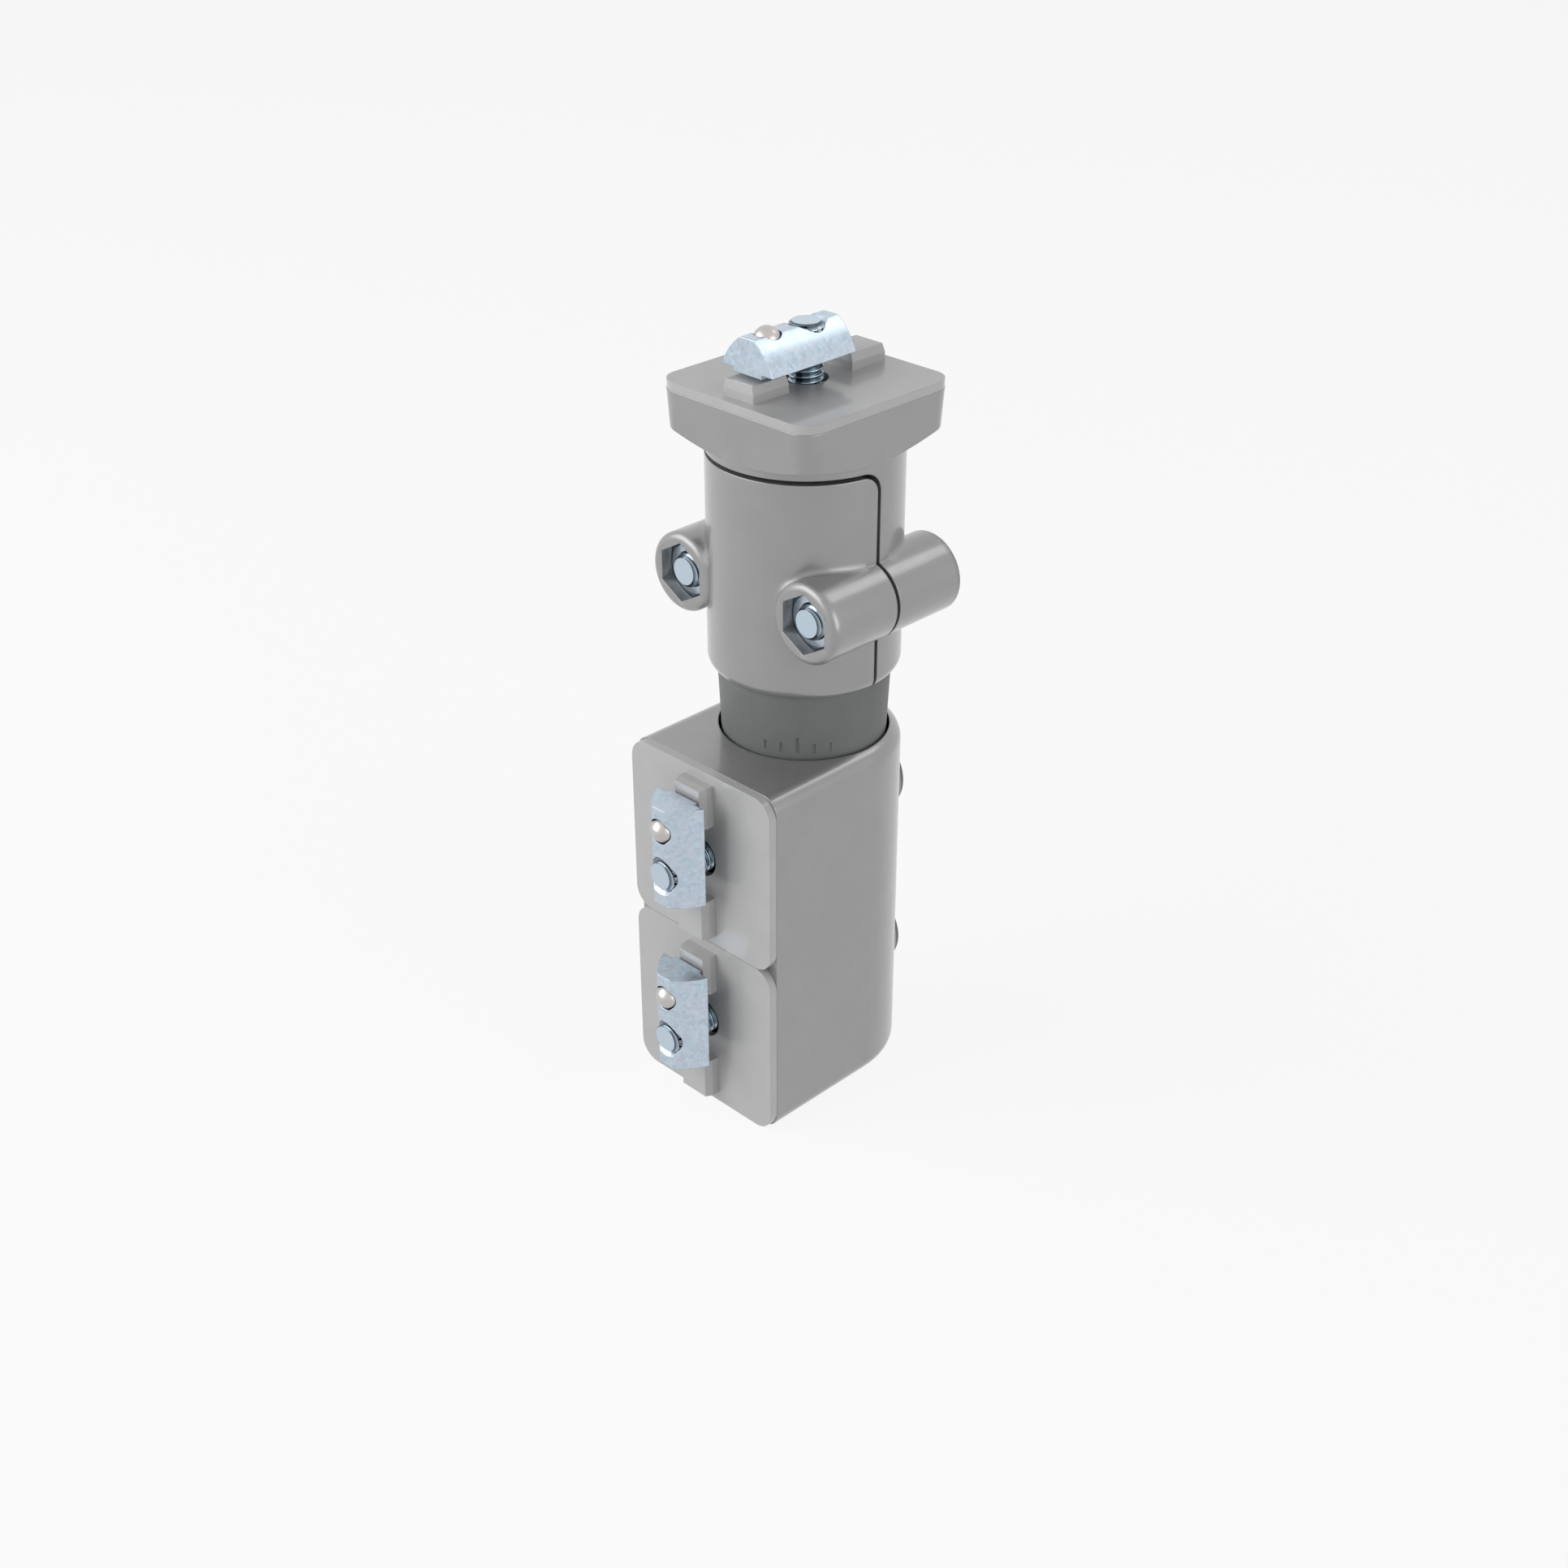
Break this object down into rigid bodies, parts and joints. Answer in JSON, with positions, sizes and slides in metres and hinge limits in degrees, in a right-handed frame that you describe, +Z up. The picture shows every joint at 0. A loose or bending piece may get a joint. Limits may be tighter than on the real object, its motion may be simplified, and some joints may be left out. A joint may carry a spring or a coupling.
{
  "type": "friction joint",
  "caption": "Lockable swivel joint for framing profiles: slotted housing, friction insert and split clamp head, with alignment plates, spring ball T-nuts, screws and caps.",
  "frame": {"origin": "on the swivel axis, at the flat foot of the housing", "axes": "+Z up along the swivel axis towards the head's flange, -Y out of the housing's mounting face, +X to the right seen from the mounting face"},
  "size_m": [0.0568, 0.0728, 0.1865],
  "materials": {
    "casting": "die cast, semi-gloss",
    "insert": "matt grey",
    "plate": "light grey zinc die casting, matt",
    "zinc_plated_steel": "bright zinc plating",
    "bright_steel": "polished",
    "cap": "dark grey"
  },
  "bodies": {
    "housing": {"housing": "casting"},
    "friction_insert": {"friction_insert": "insert"},
    "head": {"head_casting": "casting"},
    "washer_top": {"washer_top": "zinc_plated_steel"},
    "mounting_screw_top": {"mounting_screw_top": "zinc_plated_steel"},
    "clamp_shell": {"front_clamp_shell": "casting", "clamp_nut_left": "zinc_plated_steel", "clamp_nut_right": "zinc_plated_steel"},
    "clamp_screw_left": {"clamp_screw_left": "zinc_plated_steel"},
    "clamp_screw_right": {"clamp_screw_right": "zinc_plated_steel"},
    "washer_upper": {"washer_upper": "zinc_plated_steel"},
    "mounting_screw_upper": {"mounting_screw_upper": "zinc_plated_steel"},
    "screw_cap_upper": {"screw_cap_upper": "cap"},
    "washer_lower": {"washer_lower": "zinc_plated_steel"},
    "mounting_screw_lower": {"mounting_screw_lower": "zinc_plated_steel"},
    "screw_cap_lower": {"screw_cap_lower": "cap"},
    "plate_upper": {"alignment_plate_upper": "plate"},
    "t_nut_upper": {"t_nut_upper": "zinc_plated_steel", "detent_spring_upper": "bright_steel"},
    "detent_ball_upper": {"detent_ball_upper": "bright_steel"},
    "plate_lower": {"alignment_plate_lower": "plate"},
    "t_nut_lower": {"t_nut_lower": "zinc_plated_steel", "detent_spring_lower": "bright_steel"},
    "detent_ball_lower": {"detent_ball_lower": "bright_steel"},
    "plate_top": {"alignment_plate_top": "plate"},
    "t_nut_top": {"t_nut_top": "zinc_plated_steel", "detent_spring_top": "bright_steel"},
    "detent_ball_top": {"detent_ball_top": "bright_steel"}
  },
  "joints": [
    {"name": "insert_slide", "type": "slide", "parent": "housing", "child": "friction_insert", "axis": [0, 0, 1], "range_m": [-0.0097, 0.0032]},
    {"name": "head_swivel", "type": "hinge", "parent": "friction_insert", "child": "head", "pos_m": [0, 0, 0.1056], "axis": [0, 0, 1], "continuous": true},
    {"name": "clamp_shell_slide", "type": "slide", "parent": "head", "child": "clamp_shell", "axis": [0, -1, 0], "range_m": [0, 0.0004]},
    {"name": "clamp_screw_left_turn", "type": "hinge", "parent": "head", "child": "clamp_screw_left", "pos_m": [-0.01915, 0, 0.1273], "axis": [0, 1, 0], "range_deg": [0, 115.2]},
    {"name": "clamp_screw_right_turn", "type": "hinge", "parent": "head", "child": "clamp_screw_right", "pos_m": [0.01915, 0, 0.1273], "axis": [0, 1, 0], "range_deg": [0, 115.2]},
    {"name": "washer_top_off", "type": "slide", "parent": "head", "child": "washer_top", "axis": [0, 0, -1], "range_m": [0, 0.012]},
    {"name": "mounting_screw_top_out", "type": "slide", "parent": "washer_top", "child": "mounting_screw_top", "axis": [0, 0, -1], "range_m": [0, 0.018]},
    {"name": "washer_upper_off", "type": "slide", "parent": "housing", "child": "washer_upper", "axis": [0, 1, 0], "range_m": [0, 0.0419]},
    {"name": "mounting_screw_upper_out", "type": "slide", "parent": "washer_upper", "child": "mounting_screw_upper", "axis": [0, 1, 0], "range_m": [0, 0.0738]},
    {"name": "screw_cap_upper_off", "type": "slide", "parent": "mounting_screw_upper", "child": "screw_cap_upper", "axis": [0, 1, 0], "range_m": [0, 0.0212]},
    {"name": "washer_lower_off", "type": "slide", "parent": "housing", "child": "washer_lower", "axis": [0, 1, 0], "range_m": [0, 0.0419]},
    {"name": "mounting_screw_lower_out", "type": "slide", "parent": "washer_lower", "child": "mounting_screw_lower", "axis": [0, 1, 0], "range_m": [0, 0.0738]},
    {"name": "screw_cap_lower_off", "type": "slide", "parent": "mounting_screw_lower", "child": "screw_cap_lower", "axis": [0, 1, 0], "range_m": [0, 0.0212]},
    {"name": "plate_upper_off", "type": "slide", "parent": "housing", "child": "plate_upper", "axis": [0, -1, 0], "range_m": [0, 0.02855]},
    {"name": "t_nut_upper_off", "type": "slide", "parent": "plate_upper", "child": "t_nut_upper", "axis": [0, -1, 0], "range_m": [0, 0.02805]},
    {"name": "detent_ball_upper_press", "type": "slide", "parent": "t_nut_upper", "child": "detent_ball_upper", "axis": [0, 1, 0], "range_m": [0, 0.001], "stiffness_N_per_m": 2000, "springref_m": -0.0005, "deforming": ["detent_spring_upper"]},
    {"name": "plate_lower_off", "type": "slide", "parent": "housing", "child": "plate_lower", "axis": [0, -1, 0], "range_m": [0, 0.02855]},
    {"name": "t_nut_lower_off", "type": "slide", "parent": "plate_lower", "child": "t_nut_lower", "axis": [0, -1, 0], "range_m": [0, 0.02805]},
    {"name": "detent_ball_lower_press", "type": "slide", "parent": "t_nut_lower", "child": "detent_ball_lower", "axis": [0, 1, 0], "range_m": [0, 0.001], "stiffness_N_per_m": 2000, "springref_m": -0.0005, "deforming": ["detent_spring_lower"]},
    {"name": "plate_top_off", "type": "slide", "parent": "head", "child": "plate_top", "axis": [0, 0, 1], "range_m": [0, 0.0171]},
    {"name": "t_nut_top_off", "type": "slide", "parent": "plate_top", "child": "t_nut_top", "axis": [0, 0, 1], "range_m": [0, 0.0111]},
    {"name": "detent_ball_top_press", "type": "slide", "parent": "t_nut_top", "child": "detent_ball_top", "axis": [0, 0, -1], "range_m": [0, 0.001], "stiffness_N_per_m": 2000, "springref_m": -0.0005, "deforming": ["detent_spring_top"]}
  ],
  "couplings": [
    {"joint": "clamp_screw_left_turn", "follows": "clamp_shell_slide", "rad_per_m": 5026.5},
    {"joint": "clamp_screw_right_turn", "follows": "clamp_shell_slide", "rad_per_m": 5026.5}
  ]
}
